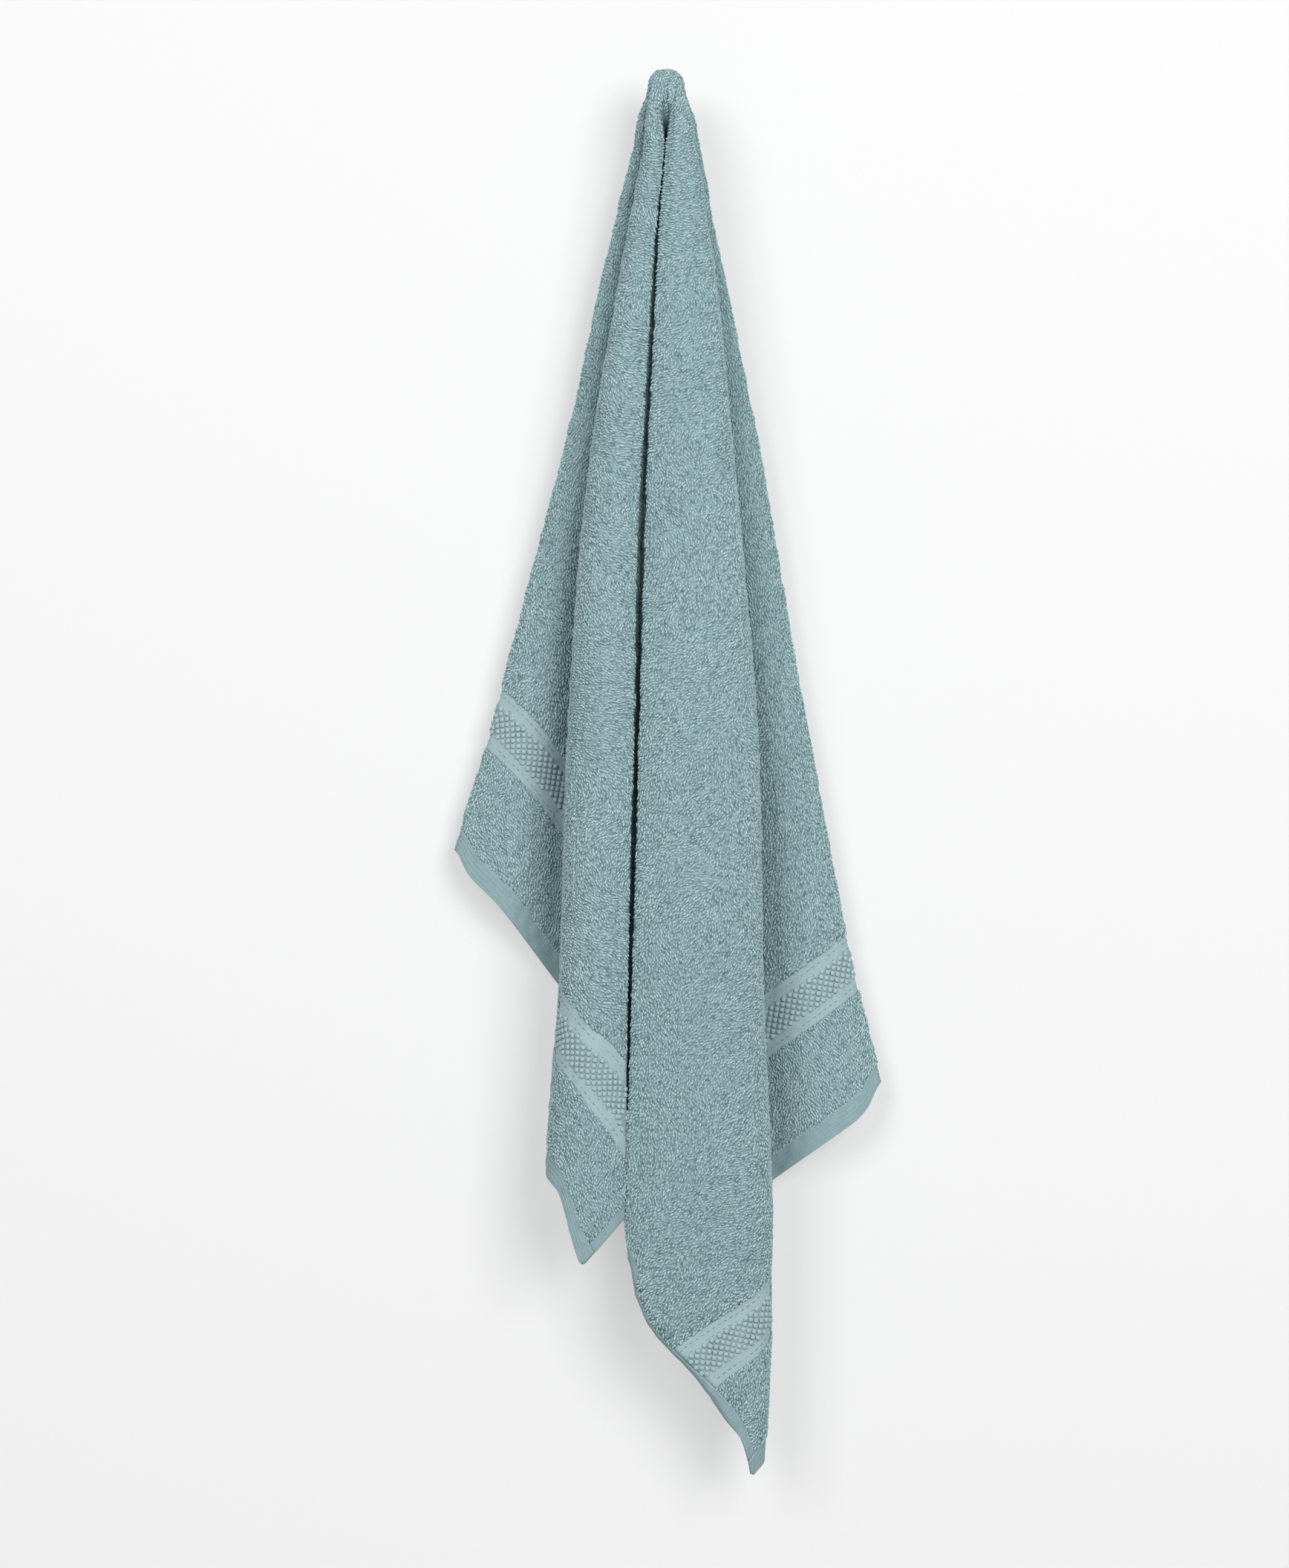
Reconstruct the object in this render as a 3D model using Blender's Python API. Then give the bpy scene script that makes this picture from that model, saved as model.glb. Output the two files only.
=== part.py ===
"""A cotton bath towel hung from one point near the middle of a long side.

The cloth is drawn flat first, as distance and direction from the hanging point, and every flat point is
then carried to its place in the hanging towel by cloth_point(). The towel's pieces are strips of that one
cloth: terry, woven bands and hems. +Z is up, the front faces -Y, and the origin is the hanging point.
"""

import math

import bmesh
import bpy
import numpy as np

# The flat towel, in metres. The hanging point is the flat origin; flat x runs from the left end to the
# right end, and flat y from the front long side to the back one.
LENGTH = 1.40
WIDTH = 0.70
TO_LEFT_END = 0.59
TO_BACK_SIDE = 0.03
LEFT = -TO_LEFT_END
RIGHT = LENGTH - TO_LEFT_END
BACK = TO_BACK_SIDE
FRONT = TO_BACK_SIDE - WIDTH

END_HEM = 0.018
SIDE_HEM = 0.009
BAND_FROM_END = 0.085
BAND_WIDTH = 0.046
SEAM_THREAD = 0.0009
GAP = 0.0006

TERRY_THICKNESS = 0.0028
BAND_THICKNESS = 0.0018
HEM_THICKNESS = 0.0026
THREAD_THICKNESS = 0.0016
THICKNESS_TO_SPACING = 0.62

# The hanging shape. Each fold runs down from the hanging point like the rib of a fan. At the distances
# in RADII along it, a table gives the angle at which it hangs, in degrees from straight down, + to the right.
RADII = (0.06, 0.12, 0.30, 0.50, 0.70, 0.85, 0.89, 0.95, 1.05)
HANG = {
    "left_edge": (-22.2, -18.2, -14.9, -14.9, -15.6, -15.9, -15.9, -16.0, -16.0),
    "right_edge": (23.0, 17.0, 13.8, 12.2, 11.8, 12.1, 12.1, 12.2, 12.2),
    "left_flap": (-1.5, -1.0, -0.5, -0.5, -0.5, -0.5, -0.5, -0.5, -0.5),
    "right_flap": (4.5, 4.0, 3.5, 3.0, 3.0, 3.0, 3.0, 3.0, 3.0),
    "left_valley": (-5.5, -5.0, -4.0, -3.0, -2.4, -2.2, -2.2, -2.2, -2.2),
    "right_valley": (3.0, 2.0, 1.0, 0.0, -0.6, -0.7, -0.3, 1.2, 3.0),
    "left_fold": (-13.9, -12.4, -10.5, -8.1, -6.4, -6.1, -6.1, -6.0, -5.9),
    "left_seam": (-2.1, -4.1, -3.95, -2.95, -2.45, -2.1, -2.1, -2.1, -2.1),
    "right_seam": (0.4, -2.1, -2.25, -2.1, -2.0, -1.88, -1.7, -4.5, 0.0),
    "right_fold": (19.0, 14.4, 9.4, 7.6, 5.8, 5.2, 4.95, 4.6, 3.9),
    "inner_left": (-10.6, -10.0, -8.9, -6.8, -5.2, -4.9, -4.9, -4.8, -4.8),
    "inner_left_middle": (-1.8, -1.6, -1.0, -0.7, -0.5, -0.5, -0.5, -0.5, -0.5),
    "inner_right_middle": (2.4, 1.6, 1.0, 0.7, 0.5, 0.5, 0.5, 0.5, 0.5),
    "inner_right": (13.6, 11.6, 7.8, 6.2, 4.6, 3.8, 3.7, 3.4, 3.0),
}
# The room that one layer of hanging cloth takes from front to back.
LAYER_SPACING = (0.0030, 0.0030, 0.0046, 0.0058, 0.0062, 0.0060, 0.0056, 0.0048, 0.0036)
MIDDLE_LAYER = 6.2
BACK_BULGE = (1.6, 1.6, 2.3, 2.9, 2.9, 2.9, 2.9, 2.9, 2.9)
# The right-hand back layer hangs a little crumpled, so it reaches this share of its flat length.
RIGHT_BACK_DROP = 0.965
CRUMPLED_FROM = 0.30

# Directions on the flat cloth at which it folds, in degrees from the front long side's foot.
LEFT_EDGE_AT = -74.5
LEFT_VALLEY_AT = -51.5
LEFT_SEAM_AT = -38.3
RIGHT_SEAM_AT = 40.8
RIGHT_VALLEY_AT = 62.5
RIGHT_EDGE_AT = 83.0
LEFT_FOLD_AT = (-41.4, -41.4, -41.4, -41.4, -42.0, -45.0, -45.0, -45.0, -45.0)
RIGHT_FOLD_AT = (48.4, 48.4, 48.4, 48.4, 48.4, 48.4, 49.0, 49.9, 51.4)
HAIRPIN = 0.55
MIDWAY = 0.50
# How the cloth between the two seam folds is shared out among the passes of the inner pleats.
INNER_PASSES = (3.5, 6, 6, 6, 6, 12, 6, 6, 6, 6, 8)

# The peak: the cloth lies over a hook as a small round cap, and its pleats start below it.
PEAK_RADIUS = 0.0125
PEAK_FLARE = math.radians(21)
PLEATS_START = 0.012
PLEATS_FULL = 0.074

# The model's own mesh: distances at which the fan is sampled, in metres.
RINGS = (0.008, 0.018, 0.028, 0.038, 0.048, 0.062, 0.09, 0.14, 0.21, 0.30, 0.40, 0.50, 0.60, 0.69, 0.78)
RINGS += (0.87, 0.96, 1.07)
SHARP_BEND = 3.8

TEAL = (0.262, 0.388, 0.410)
PALE_TEAL = (0.330, 0.465, 0.490)
THREAD_TEAL = (0.370, 0.510, 0.535)


def smooth(at, knots, values):
    """A curve through the knots that never swings past them. Each row has its own knots and values."""
    rows = np.arange(len(at))
    count = knots.shape[1]
    step = np.maximum(np.diff(knots, axis=1), 1e-9)
    slope = np.diff(values, axis=1) / step
    before, after = slope[:, :-1], slope[:, 1:]
    same = before * after > 0
    weight_before = 2 * step[:, 1:] + step[:, :-1]
    weight_after = step[:, 1:] + 2 * step[:, :-1]
    with np.errstate(divide="ignore", invalid="ignore"):
        mean = (weight_before + weight_after) / (weight_before / before + weight_after / after)
    tangent = np.zeros_like(values)
    tangent[:, 1:-1] = np.where(same, mean, 0)
    tangent[:, 0], tangent[:, -1] = slope[:, 0], slope[:, -1]
    i = np.clip((at[:, None] >= knots).sum(axis=1) - 1, 0, count - 2)
    width = step[rows, i]
    t = np.clip((at - knots[rows, i]) / width, 0, 1)
    t2, t3 = t * t, t * t * t
    return (
        (2 * t3 - 3 * t2 + 1) * values[rows, i]
        + (t3 - 2 * t2 + t) * width * tangent[rows, i]
        + (3 * t2 - 2 * t3) * values[rows, i + 1]
        + (t3 - t2) * width * tangent[rows, i + 1]
    )


def along(radius, table):
    """A table's value at each distance from the hanging point."""
    knots = np.tile(RADII, (len(radius), 1))
    values = np.tile(table, (len(radius), 1))
    return smooth(np.clip(radius, RADII[0], RADII[-1]), knots, values)


def fan(radius):
    """The folds as (flat direction, hanging angle, layer) columns, from the back-left side round to the
    back-right one, for each distance from the hanging point."""
    hang = {name: along(radius, table) for name, table in HANG.items()}
    spacing = along(radius, LAYER_SPACING)
    bulge = along(radius, BACK_BULGE)
    bend = np.degrees(spacing / radius / 2)
    flat_edge = 90 + np.degrees(np.arcsin(np.clip(TO_BACK_SIDE / radius, 0, 1)))
    knots = []

    def point(direction, angle, layer):
        knots.append((direction + 0 * radius, angle + 0 * radius, layer + 0 * radius))

    def hairpin(direction, angle, side, layer, rise, reach=HAIRPIN):
        """A sharp fold whose cloth comes from one side (+1 from the right) and goes back to it."""
        inset = side * abs(rise) * bend
        point(direction - reach, angle + inset, layer - rise / 2)
        point(direction, angle, layer)
        point(direction + reach, angle + inset, layer + rise / 2)

    point(-flat_edge, hang["left_flap"], 0)
    point(-84.0, (hang["left_flap"] + hang["left_edge"]) / 2, -0.2)
    hairpin(LEFT_EDGE_AT, hang["left_edge"], +1, 0.6, 1.5, 0.9)
    point(-68.5, 0.72 * hang["left_edge"] + 0.28 * hang["left_valley"], bulge)
    point(-60.0, 0.38 * hang["left_edge"] + 0.62 * hang["left_valley"], 0.9)
    hairpin(LEFT_VALLEY_AT, hang["left_valley"], -1, 1.3, 1.0)

    fold = along(radius, LEFT_FOLD_AT)
    point((fold + LEFT_VALLEY_AT) / 2, 0.93 * hang["left_fold"] + 0.07 * hang["left_valley"], 2.5)
    point(fold - 2.0, 1.01 * hang["left_fold"], 5.0)
    point(fold, hang["left_fold"], 9.0)
    point(fold + 0.8, 0.84 * hang["left_fold"] + 0.16 * hang["left_seam"], 11.2)
    point((fold + LEFT_SEAM_AT) / 2 + 0.3, 0.48 * hang["left_fold"] + 0.52 * hang["left_seam"], 12.5)
    hairpin(LEFT_SEAM_AT, hang["left_seam"], -1, 10.4, -1.6)

    left, right = hang["inner_left"], hang["inner_right"]
    left_middle, right_middle = hang["inner_left_middle"], hang["inner_right_middle"]
    ends = [left, left_middle, left, left_middle, left, right, right_middle, right, right_middle, right]
    layers = [8.4, 7.3, 6.2, 5.1, 4.0, 4.0, 5.1, 6.2, 7.3, 8.4]
    shares = np.cumsum(INNER_PASSES) / sum(INNER_PASSES)
    for number, (angle, layer) in enumerate(zip(ends, layers)):
        from_right = angle is left or angle is right_middle
        rise = -1.05 if number < len(ends) / 2 else 1.05
        direction = LEFT_SEAM_AT + (RIGHT_SEAM_AT - LEFT_SEAM_AT) * shares[number]
        hairpin(direction, angle, +1 if from_right else -1, layer, rise)

    hairpin(RIGHT_SEAM_AT, hang["right_seam"], +1, 10.4, 1.6)
    fold = along(radius, RIGHT_FOLD_AT)
    point(RIGHT_SEAM_AT + 0.35 * (fold - RIGHT_SEAM_AT), 0.66 * hang["right_seam"] + 0.34 * hang["right_fold"], 12.5)
    point(RIGHT_SEAM_AT + 0.72 * (fold - RIGHT_SEAM_AT), 0.26 * hang["right_seam"] + 0.74 * hang["right_fold"], 12.0)
    point(fold - 0.8, hang["right_fold"] - 0.35, 10.4)
    point(fold, hang["right_fold"], 8.4)
    point(fold + 2.0, hang["right_fold"], 5.0)
    point(fold + 3.6, 0.93 * hang["right_fold"] + 0.07 * hang["right_valley"], 2.5)
    hairpin(RIGHT_VALLEY_AT, hang["right_valley"], +1, 1.3, -1.0)

    point(71.0, 0.42 * hang["right_edge"] + 0.58 * hang["right_valley"], 0.9)
    point(77.5, 0.76 * hang["right_edge"] + 0.24 * hang["right_valley"], bulge)
    hairpin(RIGHT_EDGE_AT, hang["right_edge"], -1, 0.6, -1.5, 0.9)
    point(flat_edge, hang["right_flap"], 0)
    return [np.stack(column, axis=1) for column in zip(*knots)], spacing


def cloth_point(flat):
    """Where points of the flat cloth lie in the hanging towel."""
    radius = np.maximum(np.hypot(flat[:, 0], flat[:, 1]), 1e-6)
    direction = np.degrees(np.arctan2(flat[:, 0], -flat[:, 1]))
    fan_radius = np.maximum(radius, TO_BACK_SIDE)
    (directions, angles, layers), spacing = fan(fan_radius)
    inside = np.clip(direction, directions[:, 0], directions[:, -1])
    angle = np.radians(smooth(inside, directions, angles))
    depth = (MIDDLE_LAYER - smooth(inside, directions, layers)) * spacing

    crumple = np.clip((direction - RIGHT_VALLEY_AT) / (RIGHT_EDGE_AT - RIGHT_VALLEY_AT), 0, 1)
    reach = radius * (1 - (1 - RIGHT_BACK_DROP) * crumple * np.clip(radius / CRUMPLED_FROM, 0, 1))
    hung = np.stack([reach * np.sin(angle), depth, -reach * np.cos(angle)], axis=1)

    over = np.minimum(radius / PEAK_RADIUS, math.pi / 2)
    straight = np.maximum(radius - PEAK_RADIUS * math.pi / 2, 0)
    out = PEAK_RADIUS * np.sin(over) + straight * math.sin(PEAK_FLARE)
    drop = PEAK_RADIUS * (1 - np.cos(over)) + straight * math.cos(PEAK_FLARE)
    turn = np.radians(direction)
    cap = np.stack([out * np.sin(turn), -out * np.cos(turn), -drop], axis=1)

    share = np.clip((radius - PLEATS_START) / (PLEATS_FULL - PLEATS_START), 0, 1)
    share = (share * share * (3 - 2 * share))[:, None]
    return cap * (1 - share) + hung * share


def cloth_normal(flat):
    """The direction out of the cloth's visible face at points of the flat cloth."""
    reach = 0.0006
    across = cloth_point(flat + (reach, 0)) - cloth_point(flat - (reach, 0))
    up = cloth_point(flat + (0, reach)) - cloth_point(flat - (0, reach))
    normal = np.cross(across, up)
    length = np.linalg.norm(normal, axis=1, keepdims=True)
    return normal / np.maximum(length, 1e-12)


def flat_fan_mesh():
    """The flat cloth's mesh: rings round the hanging point, crossed by lines that follow the folds."""
    mesh = bmesh.new()
    rings = []
    (reference, _, _), _ = fan(np.array([MIDWAY]))
    sharp = np.diff(reference[0]) < SHARP_BEND
    for radius in RINGS:
        (directions, _, _), _ = fan(np.array([max(radius, TO_BACK_SIDE)]))
        knots = directions[0]
        bends = (knots[1:] + knots[:-1])[sharp] / 2
        round_the_back = (-180, (knots[0] - 180) / 2, (knots[-1] + 180) / 2)
        turns = np.radians(np.sort([*knots, *bends, *round_the_back]))
        rings.append([mesh.verts.new((radius * math.sin(t), -radius * math.cos(t), 0)) for t in turns])
    mesh.faces.new(rings[0])
    for inner, outer in zip(rings, rings[1:]):
        for i in range(len(inner)):
            following = (i + 1) % len(inner)
            mesh.faces.new((inner[i], outer[i], outer[following], inner[following]))
    bmesh.ops.recalc_face_normals(mesh, faces=mesh.faces)
    if mesh.faces[0].normal.z < 0:
        bmesh.ops.reverse_faces(mesh, faces=mesh.faces)
    return mesh


def cut_out(mesh, low_x, high_x, low_y, high_y):
    """Keeps the rectangle of the flat mesh between the four limits."""
    cuts = [
        ((low_x, 0, 0), (-1, 0, 0)),
        ((high_x, 0, 0), (1, 0, 0)),
        ((0, low_y, 0), (0, -1, 0)),
        ((0, high_y, 0), (0, 1, 0)),
    ]
    for place, normal in cuts:
        whole = [*mesh.verts, *mesh.edges, *mesh.faces]
        bmesh.ops.bisect_plane(mesh, geom=whole, dist=2e-6, plane_co=place, plane_no=normal, clear_outer=True)
    bmesh.ops.remove_doubles(mesh, verts=mesh.verts, dist=5e-5)
    bmesh.ops.triangulate(mesh, faces=[face for face in mesh.faces if len(face.verts) > 4])


def material(name, colour, roughness):
    made = bpy.data.materials.new(name)
    made.use_nodes = True
    shader = made.node_tree.nodes["Principled BSDF"]
    shader.inputs["Base Color"].default_value = (*colour, 1)
    shader.inputs["Roughness"].default_value = roughness
    shader.inputs["Metallic"].default_value = 0
    return made


def piece(name, limits, thickness, colour, roughness):
    """One strip of the cloth as a closed solid of the given thickness, centred on the cloth's surface."""
    sheet = flat_fan_mesh()
    cut_out(sheet, *limits)
    flat = np.array([vertex.co[:2] for vertex in sheet.verts])
    direction = np.arctan2(flat[:, 0], -flat[:, 1])
    radius = np.maximum(np.hypot(flat[:, 0], flat[:, 1]), TO_BACK_SIDE)
    thickness_here = np.minimum(thickness, THICKNESS_TO_SPACING * along(radius, LAYER_SPACING))
    offset = cloth_normal(flat) * thickness_here[:, None] / 2
    centre = cloth_point(flat)

    solid = bmesh.new()
    outside = [solid.verts.new(place) for place in centre + offset]
    inside = [solid.verts.new(place) for place in centre - offset]
    sheet.verts.index_update()
    for face in sheet.faces:
        corners = [vertex.index for vertex in face.verts]
        solid.faces.new([outside[i] for i in corners])
        solid.faces.new([inside[i] for i in reversed(corners)])
        for loop in face.loops:
            if loop.edge.is_boundary:
                a, b = loop.vert.index, loop.link_loop_next.vert.index
                if direction[a] < direction[b]:
                    solid.faces.new((outside[b], outside[a], inside[b]))
                    solid.faces.new((outside[a], inside[a], inside[b]))
                else:
                    solid.faces.new((outside[b], outside[a], inside[a]))
                    solid.faces.new((outside[b], inside[a], inside[b]))
    sheet.free()
    mesh = bpy.data.meshes.new(name)
    solid.to_mesh(mesh)
    solid.free()
    mesh.materials.append(material(name, colour, roughness))
    mesh.shade_smooth()
    made = bpy.data.objects.new(name, mesh)
    bpy.context.scene.collection.objects.link(made)


def end_pieces(side, end, inward):
    """The band, the terry beyond it, the hem and the hem's seam thread at one end of the towel."""

    def strip(near, far):
        edges = sorted((end + inward * near, end + inward * far))
        return (*edges, FRONT, BACK)

    def between_side_hems(near, far):
        low_x, high_x, low_y, high_y = strip(near, far)
        return (low_x, high_x, low_y + SIDE_HEM, high_y - SIDE_HEM)

    thread = END_HEM + GAP
    terry = thread + SEAM_THREAD + GAP
    piece(f"end_hem_{side}", strip(0, END_HEM), HEM_THICKNESS, PALE_TEAL, 0.85)
    piece(f"end_hem_thread_{side}", strip(thread, thread + SEAM_THREAD), THREAD_THICKNESS, THREAD_TEAL, 0.7)
    piece(f"end_terry_{side}", between_side_hems(terry, BAND_FROM_END), TERRY_THICKNESS, TEAL, 0.95)
    far = BAND_FROM_END + GAP + BAND_WIDTH
    piece(f"woven_band_{side}", between_side_hems(BAND_FROM_END + GAP, far), BAND_THICKNESS, PALE_TEAL, 0.8)


def side_pieces(side, edge, inward):
    """The narrow hem along one long side, between the end hems, with its seam thread."""
    inset = END_HEM + SEAM_THREAD + 2 * GAP
    thread = edge + inward * (SIDE_HEM - GAP - SEAM_THREAD)
    low, high = sorted((edge, thread - inward * GAP))
    piece(f"side_hem_{side}", (LEFT + inset, RIGHT - inset, low, high), HEM_THICKNESS, PALE_TEAL, 0.85)
    low, high = sorted((thread, thread + inward * SEAM_THREAD))
    limits = (LEFT + inset, RIGHT - inset, low, high)
    piece(f"side_hem_thread_{side}", limits, THREAD_THICKNESS, THREAD_TEAL, 0.7)


for old in list(bpy.data.objects):
    bpy.data.objects.remove(old)

field_from_end = BAND_FROM_END + BAND_WIDTH + 2 * GAP
field = (LEFT + field_from_end, RIGHT - field_from_end, FRONT + SIDE_HEM, BACK - SIDE_HEM)
piece("terry_field", field, TERRY_THICKNESS, TEAL, 0.95)
end_pieces("left", LEFT, +1)
end_pieces("right", RIGHT, -1)
side_pieces("front", FRONT, +1)
side_pieces("back", BACK, -1)
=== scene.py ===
"""A cotton bath towel hung over a hook near the middle of one long side.

Each piece is a strip of one cloth. It is laid out flat, in metres from the hanging point, and carried to
its place in the hanging towel by hung(). +Z is up, the room is towards -Y and the wall towards +Y.
"""

import math

import bmesh
import bpy
import numpy as np
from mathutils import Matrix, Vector
from mathutils.bvhtree import BVHTree


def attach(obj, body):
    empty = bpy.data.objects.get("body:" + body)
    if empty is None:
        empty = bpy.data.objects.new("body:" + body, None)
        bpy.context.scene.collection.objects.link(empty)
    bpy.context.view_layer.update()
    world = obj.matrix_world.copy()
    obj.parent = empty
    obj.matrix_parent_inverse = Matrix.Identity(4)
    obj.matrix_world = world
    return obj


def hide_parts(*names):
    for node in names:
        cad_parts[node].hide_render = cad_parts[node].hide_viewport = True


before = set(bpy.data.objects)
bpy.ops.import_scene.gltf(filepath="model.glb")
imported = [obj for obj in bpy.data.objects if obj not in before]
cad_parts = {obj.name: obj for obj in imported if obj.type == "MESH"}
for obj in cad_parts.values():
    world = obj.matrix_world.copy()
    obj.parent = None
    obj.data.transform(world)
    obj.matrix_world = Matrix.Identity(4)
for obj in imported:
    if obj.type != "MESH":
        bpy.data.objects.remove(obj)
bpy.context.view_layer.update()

# ---------------------------------------------------------------------------------------------------
# The terry field: the long middle of the towel, woven cotton ground with looped pile on both faces.
# It hangs from the hook in deep folds that open downwards like a fan, and is one uncut sheet.

LENGTH, WIDTH = 1.40, 0.70
TO_LEFT_END, TO_BACK_SIDE = 0.59, 0.03
LEFT, RIGHT = -TO_LEFT_END, LENGTH - TO_LEFT_END
BACK, FRONT = TO_BACK_SIDE, TO_BACK_SIDE - WIDTH
END_HEM, SIDE_HEM = 0.018, 0.009
BAND_FROM_END, BAND_WIDTH = 0.085, 0.046
TERRY_THICKNESS = 0.0028
THICKNESS_TO_SPACING = 0.62

# Each fold runs down from the hanging point. At the distances in RADII along it, a table gives the angle
# at which it hangs, in degrees from straight down, + to the right. Layers count out from the wall.
RADII = (0.06, 0.12, 0.30, 0.50, 0.70, 0.85, 0.89, 0.95, 1.05)
HANG = {
    "left_edge": (-22.2, -18.2, -14.9, -14.9, -15.6, -15.9, -15.9, -16.0, -16.0),
    "right_edge": (23.0, 17.0, 13.8, 12.2, 11.8, 12.1, 12.1, 12.2, 12.2),
    "left_flap": (-1.5, -1.0, -0.5, -0.5, -0.5, -0.5, -0.5, -0.5, -0.5),
    "right_flap": (4.5, 4.0, 3.5, 3.0, 3.0, 3.0, 3.0, 3.0, 3.0),
    "left_valley": (-5.5, -5.0, -4.0, -3.0, -2.4, -2.2, -2.2, -2.2, -2.2),
    "right_valley": (3.0, 2.0, 1.0, 0.0, -0.6, -0.7, -0.3, 1.2, 3.0),
    "left_fold": (-13.9, -12.4, -10.5, -8.1, -6.4, -6.1, -6.1, -6.0, -5.9),
    "left_seam": (-2.1, -4.1, -3.95, -2.95, -2.45, -2.1, -2.1, -2.1, -2.1),
    "right_seam": (0.4, -2.1, -2.25, -2.1, -2.0, -1.94, -1.75, -4.5, 0.0),
    "right_fold": (19.0, 14.4, 9.4, 7.6, 5.8, 5.2, 4.95, 4.6, 3.9),
    "inner_left": (-10.6, -10.0, -8.9, -6.8, -5.2, -4.9, -4.9, -4.8, -4.8),
    "inner_left_middle": (-1.8, -1.6, -1.0, -0.7, -0.5, -0.5, -0.5, -0.5, -0.5),
    "inner_right_middle": (2.4, 1.6, 1.0, 0.7, 0.5, 0.5, 0.5, 0.5, 0.5),
    "inner_right": (13.6, 11.6, 7.8, 6.2, 4.6, 3.8, 3.7, 3.4, 3.0),
}
LAYER_SPACING = (0.0030, 0.0030, 0.0046, 0.0058, 0.0062, 0.0060, 0.0056, 0.0048, 0.0036)
MIDDLE_LAYER = 6.2
BACK_BULGE = (1.6, 1.6, 2.3, 2.9, 2.9, 2.9, 2.9, 2.9, 2.9)
RIGHT_BACK_DROP = 0.965
CRUMPLED_FROM = 0.30

# Directions on the flat cloth at which it folds, in degrees from the front long side's foot.
LEFT_EDGE_AT, LEFT_VALLEY_AT, LEFT_SEAM_AT = -74.5, -51.5, -38.3
RIGHT_SEAM_AT, RIGHT_VALLEY_AT, RIGHT_EDGE_AT = 40.8, 62.5, 83.0
LEFT_FOLD_AT = (-41.4, -41.4, -41.4, -41.4, -42.0, -45.0, -45.0, -45.0, -45.0)
RIGHT_FOLD_AT = (48.4, 48.4, 48.4, 48.4, 48.4, 48.4, 49.0, 49.9, 51.4)
HAIRPIN = 0.55
INNER_PASSES = (3.5, 6, 6, 6, 6, 12, 6, 6, 6, 6, 8)

PEAK_RADIUS = 0.0125
PEAK_FLARE = math.radians(21)
PLEATS_START, PLEATS_FULL = 0.008, 0.062
PEAK_SPREAD = 0.9


def smooth(at, knots, values):
    """A curve through the knots that never swings past them. Each row has its own knots and values."""
    rows = np.arange(len(at))
    count = knots.shape[1]
    step = np.maximum(np.diff(knots, axis=1), 1e-9)
    slope = np.diff(values, axis=1) / step
    before, after = slope[:, :-1], slope[:, 1:]
    weight_before = 2 * step[:, 1:] + step[:, :-1]
    weight_after = step[:, 1:] + 2 * step[:, :-1]
    with np.errstate(divide="ignore", invalid="ignore"):
        mean = (weight_before + weight_after) / (weight_before / before + weight_after / after)
    tangent = np.zeros_like(values)
    tangent[:, 1:-1] = np.where(before * after > 0, mean, 0)
    tangent[:, 0], tangent[:, -1] = slope[:, 0], slope[:, -1]
    i = np.clip((at[:, None] >= knots).sum(axis=1) - 1, 0, count - 2)
    width = step[rows, i]
    t = np.clip((at - knots[rows, i]) / width, 0, 1)
    t2, t3 = t * t, t * t * t
    return (
        (2 * t3 - 3 * t2 + 1) * values[rows, i]
        + (t3 - 2 * t2 + t) * width * tangent[rows, i]
        + (3 * t2 - 2 * t3) * values[rows, i + 1]
        + (t3 - t2) * width * tangent[rows, i + 1]
    )


def along(radius, table):
    """A table's value at each distance from the hanging point."""
    knots = np.tile(RADII, (len(radius), 1))
    values = np.tile(table, (len(radius), 1))
    return smooth(np.clip(radius, RADII[0], RADII[-1]), knots, values)


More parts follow.
